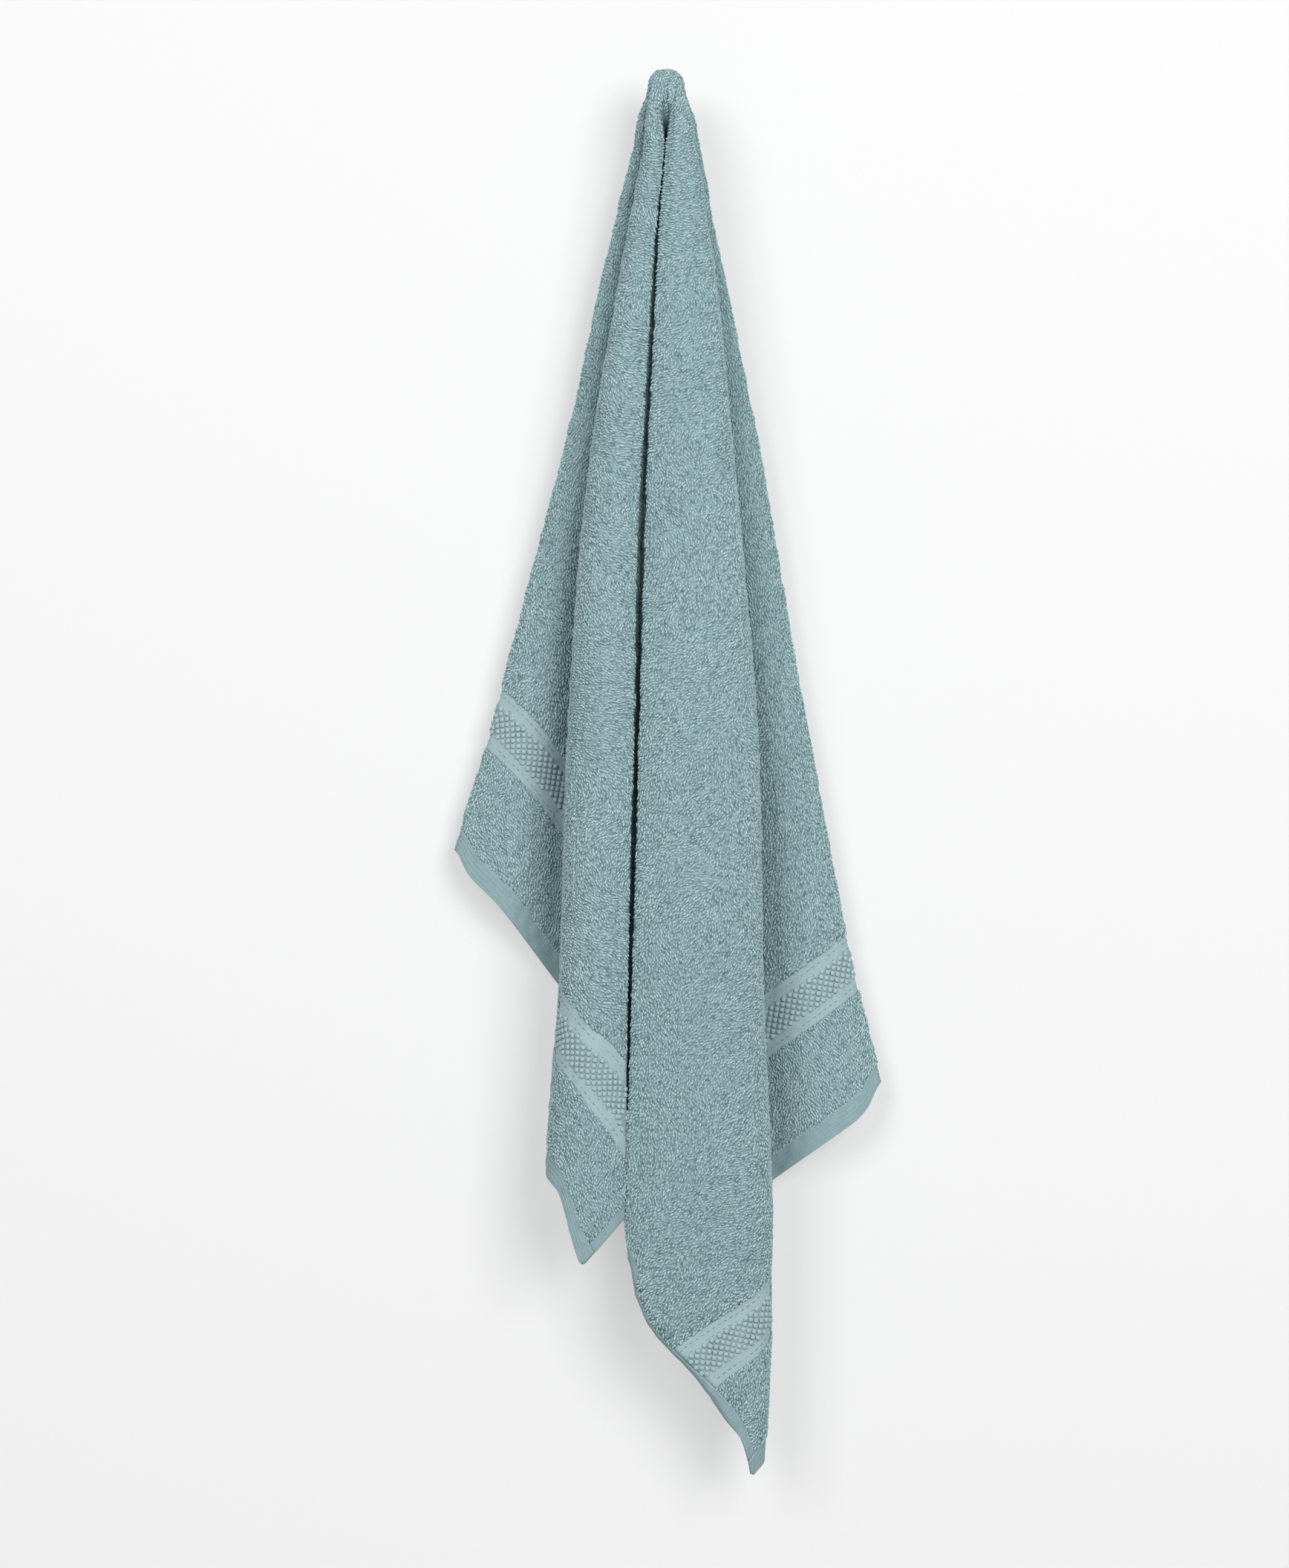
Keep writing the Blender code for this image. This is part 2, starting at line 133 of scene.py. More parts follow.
def fan(radius):
    """The folds as (flat direction, hanging angle, layer) columns, from the back-left side round to the
    back-right one, for each distance from the hanging point."""
    hang = {name: along(radius, table) for name, table in HANG.items()}
    spacing = along(radius, LAYER_SPACING)
    bulge = along(radius, BACK_BULGE)
    bend = np.degrees(spacing / radius / 2)
    flat_edge = 90 + np.degrees(np.arcsin(np.clip(TO_BACK_SIDE / radius, 0, 1)))
    knots = []

    def point(direction, angle, layer):
        knots.append((direction + 0 * radius, angle + 0 * radius, layer + 0 * radius))

    def hairpin(direction, angle, side, layer, rise, reach=HAIRPIN):
        """A sharp fold whose cloth comes from one side (+1 from the right) and goes back to it."""
        inset = side * abs(rise) * bend
        point(direction - reach, angle + inset, layer - rise / 2)
        point(direction, angle, layer)
        point(direction + reach, angle + inset, layer + rise / 2)

    point(-flat_edge, hang["left_flap"], 0)
    point(-84.0, (hang["left_flap"] + hang["left_edge"]) / 2, -0.2)
    hairpin(LEFT_EDGE_AT, hang["left_edge"], +1, 0.6, 1.5, 0.9)
    point(-68.5, 0.72 * hang["left_edge"] + 0.28 * hang["left_valley"], bulge)
    point(-60.0, 0.38 * hang["left_edge"] + 0.62 * hang["left_valley"], 0.9)
    hairpin(LEFT_VALLEY_AT, hang["left_valley"], -1, 1.3, 1.0)

    fold = along(radius, LEFT_FOLD_AT)
    point((fold + LEFT_VALLEY_AT) / 2, 0.93 * hang["left_fold"] + 0.07 * hang["left_valley"], 2.5)
    point(fold - 2.0, 1.01 * hang["left_fold"], 5.0)
    point(fold, hang["left_fold"], 9.0)
    point(fold + 0.8, 0.84 * hang["left_fold"] + 0.16 * hang["left_seam"], 11.2)
    point((fold + LEFT_SEAM_AT) / 2 + 0.3, 0.48 * hang["left_fold"] + 0.52 * hang["left_seam"], 12.5)
    hairpin(LEFT_SEAM_AT, hang["left_seam"], -1, 10.4, -1.6)

    left, right = hang["inner_left"], hang["inner_right"]
    left_middle, right_middle = hang["inner_left_middle"], hang["inner_right_middle"]
    ends = [left, left_middle, left, left_middle, left, right, right_middle, right, right_middle, right]
    layers = [8.4, 7.3, 6.2, 5.1, 4.0, 4.0, 5.1, 6.2, 7.3, 8.4]
    shares = np.cumsum(INNER_PASSES) / sum(INNER_PASSES)
    for number, (angle, layer) in enumerate(zip(ends, layers)):
        from_right = angle is left or angle is right_middle
        rise = -1.05 if number < len(ends) / 2 else 1.05
        direction = LEFT_SEAM_AT + (RIGHT_SEAM_AT - LEFT_SEAM_AT) * shares[number]
        hairpin(direction, angle, +1 if from_right else -1, layer, rise)

    hairpin(RIGHT_SEAM_AT, hang["right_seam"], +1, 10.4, 1.6)
    fold = along(radius, RIGHT_FOLD_AT)
    for flat_share, hanging_share, layer in ((0.35, 0.34, 12.5), (0.72, 0.74, 12.0)):
        angle = hang["right_seam"] + hanging_share * (hang["right_fold"] - hang["right_seam"])
        point(RIGHT_SEAM_AT + flat_share * (fold - RIGHT_SEAM_AT), angle, layer)
    point(fold - 0.8, hang["right_fold"] - 0.35, 10.4)
    point(fold, hang["right_fold"], 8.4)
    point(fold + 2.0, hang["right_fold"], 5.0)
    point(fold + 3.6, 0.93 * hang["right_fold"] + 0.07 * hang["right_valley"], 2.5)
    hairpin(RIGHT_VALLEY_AT, hang["right_valley"], +1, 1.3, -1.0)

    point(71.0, 0.42 * hang["right_edge"] + 0.58 * hang["right_valley"], 0.9)
    point(77.5, 0.76 * hang["right_edge"] + 0.24 * hang["right_valley"], bulge)
    hairpin(RIGHT_EDGE_AT, hang["right_edge"], -1, 0.6, -1.5, 0.9)
    point(flat_edge, hang["right_flap"], 0)
    return [np.stack(column, axis=1) for column in zip(*knots)], spacing


def draped(flat):
    """Where points of the flat cloth lie in the folds, before its edges turn."""
    radius = np.maximum(np.hypot(flat[:, 0], flat[:, 1]), 1e-6)
    direction = np.degrees(np.arctan2(flat[:, 0], -flat[:, 1]))
    (directions, angles, layers), spacing = fan(np.maximum(radius, TO_BACK_SIDE))
    inside = np.clip(direction, directions[:, 0], directions[:, -1])
    spread = 1 + PEAK_SPREAD * np.clip(1 - radius / RADII[0], 0, 1)
    angle = np.radians(smooth(inside, directions, angles)) * spread
    depth = (MIDDLE_LAYER - smooth(inside, directions, layers)) * spacing

    crumple = np.clip((direction - RIGHT_VALLEY_AT) / (RIGHT_EDGE_AT - RIGHT_VALLEY_AT), 0, 1)
    reach = radius * (1 - (1 - RIGHT_BACK_DROP) * crumple * np.clip(radius / CRUMPLED_FROM, 0, 1))
    folds = np.stack([reach * np.sin(angle), depth, -reach * np.cos(angle)], axis=1)

    over = np.minimum(radius / PEAK_RADIUS, math.pi / 2)
    straight = np.maximum(radius - PEAK_RADIUS * math.pi / 2, 0)
    out = PEAK_RADIUS * np.sin(over) + straight * math.sin(PEAK_FLARE)
    drop = PEAK_RADIUS * (1 - np.cos(over)) + straight * math.cos(PEAK_FLARE)
    turn = np.radians(direction)
    cap = np.stack([out * np.sin(turn), -out * np.cos(turn), -drop], axis=1)

    share = np.clip((radius - PLEATS_START) / (PLEATS_FULL - PLEATS_START), 0, 1)
    share = (share * share * (3 - 2 * share))[:, None]
    return cap * (1 - share) + folds * share


def unit(vectors):
    return vectors / np.maximum(np.linalg.norm(vectors, axis=1, keepdims=True), 1e-12)


# Its corners are worn round. Its ends are drawn in where they pass the outer folds, each by a depth at a
# flat direction. Its front long side is rolled under below the great fold, and hangs lower there.
CORNER_RADIUS = 0.007
DRAWN_IN = ((LEFT_EDGE_AT, 0.008), (RIGHT_EDGE_AT, 0.013), (LEFT_FOLD_AT[-1], 0.007))
DRAWN_SPREAD, DRAWN_REACH = 2.0, 0.07
ROLL_FROM, ROLL_TO, ROLL_STARTS_OVER, ROLL_ENDS_OVER = 41.0, 49.0, 1.6, 2.6
SIDE_ROLL, SIDE_ROLL_RADIUS = 0.0115, 0.0042
ROLL_DROP_AT = (42.6, 44.3, 45.4, 47.0)
ROLL_DROP = (0.0115, 0.008, 0.005, 0.003)
ROLL_DROP_REACH = 0.12


def worn(flat):
    """Flat points of the square towel, moved to their places in the worn one."""
    middle, half = np.array([(LEFT + RIGHT) / 2, (FRONT + BACK) / 2]), np.array([LENGTH / 2, WIDTH / 2])
    from_middle = flat - middle
    corner = np.maximum(np.abs(from_middle) - (half - CORNER_RADIUS), 0)
    drawn = corner * (corner.max(axis=1) / np.maximum(np.hypot(*corner.T), 1e-9))[:, None]
    flat = flat + np.sign(from_middle) * (drawn - corner)
    direction = np.degrees(np.arctan2(flat[:, 0], -flat[:, 1]))
    near_end = np.clip(1 - (half[0] - np.abs(from_middle[:, 0])) / DRAWN_REACH, 0, 1)
    for fold, depth in DRAWN_IN:
        near_fold = np.exp(-(((direction - fold) / DRAWN_SPREAD) ** 2))
        flat[:, 0] -= np.sign(fold) * depth * near_end * near_fold
    return flat


NUDGE = 0.0006


def hung(flat):
    """Where points of the flat cloth lie in the hanging towel."""
    flat = worn(flat)
    direction = np.degrees(np.arctan2(flat[:, 0], -flat[:, 1]))
    past_start = np.clip((direction - ROLL_FROM) / ROLL_STARTS_OVER, 0, 1)
    under_fold = past_start * np.clip((ROLL_TO - direction) / ROLL_ENDS_OVER, 0, 1)
    roll = SIDE_ROLL * under_fold
    drop = np.interp(direction, ROLL_DROP_AT, ROLL_DROP) * under_fold
    from_side = flat[:, 1] - FRONT
    lower = flat[:, 1] - drop * np.clip(1 - (from_side - roll) / ROLL_DROP_REACH, 0, 1)
    flat[:, 1] = np.maximum(lower, FRONT + roll - drop)
    places = draped(flat)
    rolled = roll > from_side
    if rolled.any():
        start, step = flat[rolled], np.array([0, NUDGE])
        down = unit(draped(start - step) - draped(start + step))
        back = unit(np.cross(down, draped(start + step[::-1]) - draped(start - step[::-1])))
        turn = ((roll - from_side)[rolled] / SIDE_ROLL_RADIUS)[:, None]
        places[rolled] += SIDE_ROLL_RADIUS * (down * np.sin(turn) - back * (1 - np.cos(turn)))
    return places


def facing(flat):
    """The direction out of the cloth's upper face at points of the flat cloth."""
    across = hung(flat + (NUDGE, 0)) - hung(flat - (NUDGE, 0))
    up = hung(flat + (0, NUDGE)) - hung(flat - (0, NUDGE))
    return unit(np.cross(across, up))


def waves(flat, shortest, longest, count, seed):
    """A smooth uneven field over the flat cloth, about -1 to 1, with bumps of the given sizes."""
    draw = np.random.default_rng(seed)
    total = np.zeros(len(flat))
    for _ in range(count):
        size = draw.uniform(shortest, longest)
        turn = draw.uniform(0, 2 * math.pi)
        phase = draw.uniform(0, 2 * math.pi)
        along_wave = flat[:, 0] * math.cos(turn) + flat[:, 1] * math.sin(turn)
        total += np.sin(2 * math.pi * along_wave / size + phase)
    return total / math.sqrt(count)


def heading(flat, way):
    """A direction on the flat cloth, carried to the hanging towel."""
    step = 0.0008 * np.asarray(way)
    return unit(hung(flat + step) - hung(flat - step))


BRUSHED_OUT, WIDE_SWIRL, SMALL_SWIRL = 0.35, 0.5, 0.35


def pile_lie(flat):
    """The way the loops lie: down the folds, brushed a little outwards and in swirls."""
    down_fold = np.arctan2(flat[:, 1], flat[:, 0])
    wide = waves(flat, 0.07, 0.2, count=7, seed=11)
    small = waves(flat, 0.02, 0.045, count=7, seed=12)
    swirl = WIDE_SWIRL * wide + SMALL_SWIRL * small
    turn = down_fold - BRUSHED_OUT * np.sign(flat[:, 0]) + swirl
    return heading(flat, np.stack([np.cos(turn), np.sin(turn)], axis=1))


# What a point of the cloth has in front of it is looked up on the frame's own solids.
towel_corners, towel_triangles = [], []
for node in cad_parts.values():
    first = len(towel_corners)
    towel_corners += [corner.co.copy() for corner in node.data.vertices]
    towel_triangles += [[first + i for i in side.vertices] for side in node.data.polygons]
towel_solids = BVHTree.FromPolygons(towel_corners, towel_triangles)
FRONT_TURNS = ((0, 0), (0.6, 0.3), (-0.6, 0.3), (1.2, 0), (-1.2, 0))
BACK_TURNS = ((1.8, 0.2), (-1.8, 0.2), (2.4, -0.1), (-2.4, -0.1), (math.pi, 0.1))
FROM_ABOVE = (0, 1.3)
LOOKS = [
    Vector((math.sin(turn) * math.cos(rise), -math.cos(turn) * math.cos(rise), math.sin(rise)))
    for turn, rise in (*FRONT_TURNS, *BACK_TURNS, FROM_ABOVE)
]
LOOK_STARTS_ABOVE, LOOK_REACH, GRAZING = 0.004, 2.0, 0.12


def shows(points, normals):
    """1 where the cloth can be seen from outside the towel, 0 deep between its folds."""
    seen = np.zeros(len(points))
    for i, (point, normal) in enumerate(zip(points, normals)):
        out = Vector(normal)
        start = Vector(point) + out * LOOK_STARTS_ABOVE
        for look in LOOKS:
            if look.dot(out) > GRAZING and towel_solids.ray_cast(start, look, LOOK_REACH)[0] is None:
                seen[i] = 1
                break
    return seen


MIDWAY, LOW_DOWN = 0.50, 0.70
FACE_WIDTH, FEWEST_FACES = 0.0055, 3
PEAK_RINGS = np.arange(0.004, 0.08, 0.0028)
FIELD_RINGS = np.arange(0.08, 1.07, 0.0075)


def polar_sheet(limits):
    """The flat field's mesh, with lines along the folds so that each one bends smoothly."""
    reference = fan(np.array([MIDWAY]))[0][0][0]
    arcs = np.radians(np.diff(reference)) * LOW_DOWN
    parts = np.clip(np.ceil(arcs / FACE_WIDTH), FEWEST_FACES, None).astype(int)
    parts[(reference[1:] > LEFT_SEAM_AT + 1) & (reference[:-1] < RIGHT_SEAM_AT - 1)] = FEWEST_FACES
    radii = np.concatenate([PEAK_RINGS, FIELD_RINGS])
    mesh = bmesh.new()
    rings = []
    for radius in radii:
        knots = fan(np.array([max(radius, TO_BACK_SIDE)]))[0][0][0]
        turns = [np.linspace(a, b, n, endpoint=False) for a, b, n in zip(knots, knots[1:], parts)]
        turns = [np.linspace(-180, knots[0], 10, endpoint=False), *turns]
        turns += [np.linspace(knots[-1], 180, 10, endpoint=False)]
        turns = np.radians(np.concatenate(turns))
        rings.append([mesh.verts.new((radius * math.sin(t), -radius * math.cos(t), 0)) for t in turns])
    middle = mesh.verts.new((0, 0, 0))
    count = len(rings[0])
    for i in range(count):
        mesh.faces.new((middle, rings[0][i], rings[0][(i + 1) % count]))
    for inner, outer in zip(rings, rings[1:]):
        for i in range(count):
            following = (i + 1) % count
            mesh.faces.new((inner[i], outer[i], outer[following], inner[following]))
    low_x, high_x, low_y, high_y = limits
    cuts = [
        ((low_x, 0, 0), (-1, 0, 0)),
        ((high_x, 0, 0), (1, 0, 0)),
        ((0, low_y, 0), (0, -1, 0)),
        ((0, high_y, 0), (0, 1, 0)),
    ]
    for place, normal in cuts:
        whole = [*mesh.verts, *mesh.edges, *mesh.faces]
        bmesh.ops.bisect_plane(
            mesh, geom=whole, dist=2e-6, plane_co=place, plane_no=normal, clear_outer=True
        )
    mesh.verts.index_update()
    flat = np.array([vertex.co[:2] for vertex in mesh.verts])
    faces = [[vertex.index for vertex in face.verts] for face in mesh.faces]
    mesh.free()
    return flat, faces


def turned_up(flat, faces):
    """The same faces, all facing up on the flat cloth."""
    up = []
    for face in faces:
        corners = flat[face]
        twice_area = np.dot(corners[:, 0], np.roll(corners[:, 1], -1)) - np.dot(
            corners[:, 1], np.roll(corners[:, 0], -1)
        )
        up.append(face if twice_area > 0 else face[::-1])
    return up


def from_hanging_point(flat):
    return np.maximum(np.hypot(flat[:, 0], flat[:, 1]), TO_BACK_SIDE)


def half_thickness(flat, thickness):
    """Half the cloth's thickness, less where the folds press it together."""
    pressed = THICKNESS_TO_SPACING * along(from_hanging_point(flat), LAYER_SPACING)
    return np.minimum(thickness, pressed) / 2


def cloth(name, flat, faces, thickness, finish, relief):
    """A strip of the cloth as a closed shell. relief(flat) adds height to both faces where they show."""
    half = half_thickness(flat, thickness)
    centre, out, lie = hung(flat), facing(flat), pile_lie(flat)
    upper_shows = shows(centre + out * half[:, None], out)
    lower_shows = shows(centre - out * half[:, None], -out)
    height = relief(flat)
    upper = centre + out * (half + height * upper_shows)[:, None]
    lower = centre - out * (half + height * lower_shows)[:, None]

    faces = turned_up(flat, faces)
    count = len(flat)
    sides = {}
    for face in faces:
        for a, b in zip(face, face[1:] + face[:1]):
            if sides.pop((b, a), None) is None:
                sides[(a, b)] = True
    walls = [(b, a, a + count, b + count) for a, b in sides]
    under = [[i + count for i in reversed(face)] for face in faces]
    mesh = bpy.data.meshes.new(name)
    mesh.from_pydata(np.concatenate([upper, lower]).tolist(), [], [*faces, *under, *walls])
    mesh.materials.append(finish)
    for attribute, kind, values in (
        ("flat", "FLOAT_VECTOR", np.tile(np.column_stack([flat, 0 * flat[:, 0]]), (2, 1))),
        ("lie", "FLOAT_VECTOR", np.tile(lie, (2, 1))),
        ("shows", "FLOAT", np.concatenate([upper_shows, lower_shows])),
        ("upper", "FLOAT", np.repeat([1.0, 0.0], count)),
        ("reach", "FLOAT", np.tile(from_hanging_point(flat), 2)),
    ):
        field = "vector" if kind == "FLOAT_VECTOR" else "value"
        made = mesh.attributes.new(attribute, kind, "POINT")
        made.data.foreach_set(field, np.ascontiguousarray(values, dtype=np.float32).ravel())
    mesh.shade_smooth()
    shell = bpy.data.objects.new(name, mesh)
    bpy.context.scene.collection.objects.link(shell)
    return shell


class Value:
    """An output of a node. Python's arithmetic on values adds their Math nodes."""

    def __init__(self, nodes, socket):
        self.nodes, self.socket = nodes, socket

    def __getitem__(self, name):
        return Value(self.nodes, self.socket.node.outputs[name])

    def maths(self, operation, first, second=0.0):
        return self.nodes.node("ShaderNodeMath", {"operation": operation}, {0: first, 1: second})

    def __add__(self, other):
        return self.maths("ADD", self, other)

    def __radd__(self, other):
        return self.maths("ADD", other, self)

    def __sub__(self, other):
        return self.maths("SUBTRACT", self, other)

    def __rsub__(self, other):
        return self.maths("SUBTRACT", other, self)

    def __mul__(self, other):
        return self.maths("MULTIPLY", self, other)

    def __rmul__(self, other):
        return self.maths("MULTIPLY", other, self)

    def __abs__(self):
        return self.maths("ABSOLUTE", self)

    def __lt__(self, other):
        return self.maths("LESS_THAN", self, other)


class Nodes:
    """A node tree being built."""

    def __init__(self, tree):
        self.tree = tree

    def node(self, kind, settings=(), sockets=()):
        """Adds a node with its settings, then its sockets' values or links. Gives its first output."""
        made = self.tree.nodes.new(kind)
        for name, setting in dict(settings).items():
            if name == "stops":
                while len(made.color_ramp.elements) < len(setting):
                    made.color_ramp.elements.new(0.5)
                for stop, (position, colour) in zip(made.color_ramp.elements, setting):
                    stop.position, stop.color = position, (*colour, 1)
            else:
                setattr(made, name, setting)
        for key, given in dict(sockets).items():
            if isinstance(key, int):
                socket = made.inputs[key]
            else:
                socket = next(each for each in made.inputs if each.name == key and each.enabled)
            if isinstance(given, Value):
                self.tree.links.new(given.socket, socket)
            else:
                socket.default_value = given
        outputs = [each for each in made.outputs if each.enabled]
        return Value(self, outputs[0]) if outputs else None

    def size(self, given):
        """The length, width and height that go into a geometry tree, as one vector."""
        sides = {"X": given["Length"], "Y": given["Width"], "Z": given["Height"]}
        return self.node("ShaderNodeCombineXYZ", {}, sides)

    def finished(self, instances, finish):
        """Ends a geometry tree: its instances made plain mesh, smooth and with their finish."""
        plain = self.node("GeometryNodeRealizeInstances", {}, {"Geometry": instances})
        soft = self.node("GeometryNodeSetShadeSmooth", {}, {"Geometry": plain, "Shade Smooth": True})
        done = self.node("GeometryNodeSetMaterial", {}, {"Geometry": soft, "Material": finish})
        self.node("NodeGroupOutput", {}, {0: done})


class Finish(Nodes):
    """A cotton finish: one Principled surface whose colour and height are drawn by nodes."""

    def __init__(self, name, roughness, sheen=0.0, specular=0.25):
        self.material = bpy.data.materials.new(name)
        self.material.use_nodes = True
        super().__init__(self.material.node_tree)
        self.surface = self.tree.nodes["Principled BSDF"]
        self.surface.inputs["Roughness"].default_value = roughness
        self.surface.inputs["Specular IOR Level"].default_value = specular
        self.surface.inputs["Sheen Weight"].default_value = sheen
        self.surface.inputs["Sheen Roughness"].default_value = 0.5

    def place(self):
        return self.node("ShaderNodeTexCoord")["Object"]

    def attribute(self, name, part="Vector"):
        return self.node("ShaderNodeAttribute", {"attribute_name": name})[part]

    def noise(self, where, scale, detail=2.0, roughness=0.5):
        sockets = {"Vector": where, "Scale": scale, "Detail": detail, "Roughness": roughness}
        return self.node("ShaderNodeTexNoise", {}, sockets)

    def colour(self, mask, stops):
        ramp = self.node("ShaderNodeValToRGB", {"stops": stops}, {"Fac": mask})
        self.tree.links.new(ramp.socket, self.surface.inputs["Base Color"])

    def height(self, value, distance, strength=1.0):
        sockets = {"Height": value, "Distance": distance, "Strength": strength}
        bump = self.node("ShaderNodeBump", {}, sockets)
        self.tree.links.new(bump.socket, self.surface.inputs["Normal"])


SHADED_GROUND_TEAL = (0.100, 0.175, 0.190)
TEAL = (0.262, 0.388, 0.410)
LIGHT_TEAL = (0.415, 0.562, 0.582)

terry = Finish("terry_pile", 0.95, sheen=0.15)
place = terry.place()
broad = terry.noise(place, 14.0)
patchy = terry.noise(place, 120.0)
tuft_tint = terry.attribute("tint", "Fac")
terry.colour(0.25 * broad + 0.25 * patchy + 0.5 * tuft_tint, [(0.2, TEAL), (0.8, LIGHT_TEAL)])
terry.height(terry.noise(place, 1400.0), 0.0004, 0.7)

# The ground is coloured darker than the loops of pile: painted shade for the gaps between the loops.
ground = Finish("terry_ground", 0.97)
place = ground.place()
ground.colour(ground.noise(place, 300.0), [(0.3, SHADED_GROUND_TEAL), (0.7, TEAL)])
ground.height(ground.noise(place, 420.0, 4.0, 0.6), 0.0012)


def new_tree(name, start, sizes, result):
    """An empty geometry tree with a start shape, named sizes, a seed and a finish going in, and a result
    coming out. Gives the tree, its nodes and what goes in."""
    tree = bpy.data.node_groups.new(name, "GeometryNodeTree")
    tree.interface.new_socket(start, in_out="INPUT", socket_type="NodeSocketGeometry")
    for size, value in sizes.items():
        kind = "NodeSocketInt" if size == "Seed" else "NodeSocketFloat"
        tree.interface.new_socket(size, in_out="INPUT", socket_type=kind).default_value = value
    tree.interface.new_socket("Finish", in_out="INPUT", socket_type="NodeSocketMaterial")
    tree.interface.new_socket(result, in_out="OUTPUT", socket_type="NodeSocketGeometry")
    nodes = Nodes(tree)
    return tree, nodes, nodes.node("NodeGroupInput")


LOOP = {"Spacing": 0.0018, "Length": 0.0039, "Width": 0.0014, "Height": 0.0016, "Lean": 0.3, "Seed": 1}


def pile_tree():
    """Scatters loops of pile over a cloth, lying along its "lie" attribute, where its "grows" says."""
    tree, nodes, given = new_tree("pile", "Cloth", LOOP, "Pile")
    grows = nodes.node("GeometryNodeInputNamedAttribute", {"data_type": "FLOAT"}, {"Name": "grows"})
    lie = nodes.node("GeometryNodeInputNamedAttribute", {"data_type": "FLOAT_VECTOR"}, {"Name": "lie"})
    spots = nodes.node(
        "GeometryNodeDistributePointsOnFaces",
        {"distribute_method": "POISSON"},
        {
            "Mesh": given,
            "Distance Min": given["Spacing"],
            "Density Max": 1.0e6,
            "Density Factor": grows,
            "Seed": given["Seed"],
        },
    )
    laid = nodes.node(
        "FunctionNodeAxesToRotation",
        {"primary_axis": "Z", "secondary_axis": "X"},
        {"Primary Axis": spots["Normal"], "Secondary Axis": lie},
    )
    twist = nodes.node(
        "FunctionNodeRandomValue",
        {"data_type": "FLOAT_VECTOR"},
        {"Min": (-0.3, -0.2, -0.32), "Max": (0.3, 0.2, 0.32), "Seed": 3},
    )
    lean = nodes.node("ShaderNodeCombineXYZ", {}, {"Y": -1 * given["Lean"]})
    turn = nodes.node("ShaderNodeVectorMath", {"operation": "ADD"}, {0: twist, 1: lean})
    turned = nodes.node(
        "FunctionNodeRotateRotation", {"rotation_space": "LOCAL"}, {"Rotation": laid, "Rotate By": turn}
    )
    ball = nodes.node("GeometryNodeMeshUVSphere", {}, {"Segments": 5, "Rings": 3, "Radius": 0.5})
    loop = nodes.node("GeometryNodeTransform", {}, {"Geometry": ball, "Scale": nodes.size(given)})
    growth = nodes.node(
        "FunctionNodeRandomValue", {"data_type": "FLOAT"}, {"Min": 0.72, "Max": 1.25, "Seed": 4}
    )
    loops = nodes.node(
        "GeometryNodeInstanceOnPoints",
        {},
        {"Points": spots, "Instance": loop, "Rotation": turned, "Scale": growth},
    )
    tint = nodes.node(
        "FunctionNodeRandomValue", {"data_type": "FLOAT"}, {"Min": 0.0, "Max": 1.0, "Seed": 5}
    )
    tinted = nodes.node(
        "GeometryNodeStoreNamedAttribute",
        {"data_type": "FLOAT", "domain": "INSTANCE"},
        {"Geometry": loops, "Name": "tint", "Value": tint},
    )
    nodes.finished(tinted, given["Finish"])
    return tree


def grown(name, mesh, tree, **inputs):
    """A geometry tree's result on a mesh, as an object with a plain mesh of its own."""
    host = bpy.data.objects.new(name, mesh)
    bpy.context.scene.collection.objects.link(host)
    modifier = host.modifiers.new("grow", "NODES")
    modifier.node_group = tree
    for socket in tree.interface.items_tree:
        if socket.in_out == "INPUT" and socket.name.lower() in inputs:
            modifier[socket.identifier] = inputs[socket.name.lower()]
    made = bpy.data.meshes.new_from_object(host.evaluated_get(bpy.context.evaluated_depsgraph_get()))
    host.modifiers.clear()
    host.data = made
    return host


def values_of(mesh, name):
    found = np.empty(len(mesh.vertices), dtype=np.float32)
    mesh.attributes[name].data.foreach_get("value", found)
    return found


def piled(name, shell, zones, node, seed):
    """Grows pile on the parts of a cloth that show, one piece for each zone of (face, from, to), where
    from and to are distances from the hanging point."""
    made = []
    mesh = shell.data
    seen, upper, reach = (values_of(mesh, each) for each in ("shows", "upper", "reach"))
    grows = mesh.attributes.new("grows", "FLOAT", "POINT")
    for number, (face, start, end) in enumerate(zones):
        chosen = seen * (upper == face) * (reach >= start) * (reach < end)
        mesh.attributes["grows"].data.foreach_set("value", chosen.astype(np.float32))
        mesh.update()
        pile = grown(f"{name}_{number + 1}", mesh, PILE, seed=seed + number, finish=terry.material)
        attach(pile, "root")
        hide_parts(node)
        made.append(pile)
    return made


PILE = pile_tree()


LUMP_HEIGHT, LUMP_MIDDLE = 0.0004, 0.0003


def lumps(flat):
    """The uneven height of the terry, in metres."""
    return LUMP_HEIGHT * waves(flat, 0.012, 0.03, count=9, seed=21) + LUMP_MIDDLE


FIELD_FROM_END = BAND_FROM_END + BAND_WIDTH
field_limits = (LEFT + FIELD_FROM_END, RIGHT - FIELD_FROM_END, FRONT + SIDE_HEM, BACK - SIDE_HEM)
field = cloth("field_cloth", *polar_sheet(field_limits), TERRY_THICKNESS, ground.material, lumps)
FRONT_STOPS = (0, 0.24, 0.36, 0.47, 0.57, 0.68, 2)
BACK_STOPS = (0, 0.5, 2)
FIELD_ZONES = [
    (face, start, end)
    for face, stops in ((1, FRONT_STOPS), (0, BACK_STOPS))
    for start, end in zip(stops, stops[1:])
]
field_pile = piled("field_pile", field, FIELD_ZONES, "terry_field", 100)
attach(field, "root")
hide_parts("terry_field")

# ---------------------------------------------------------------------------------------------------
# The end terry: between each woven band and the hem beyond it runs a narrow strip of the same terry.


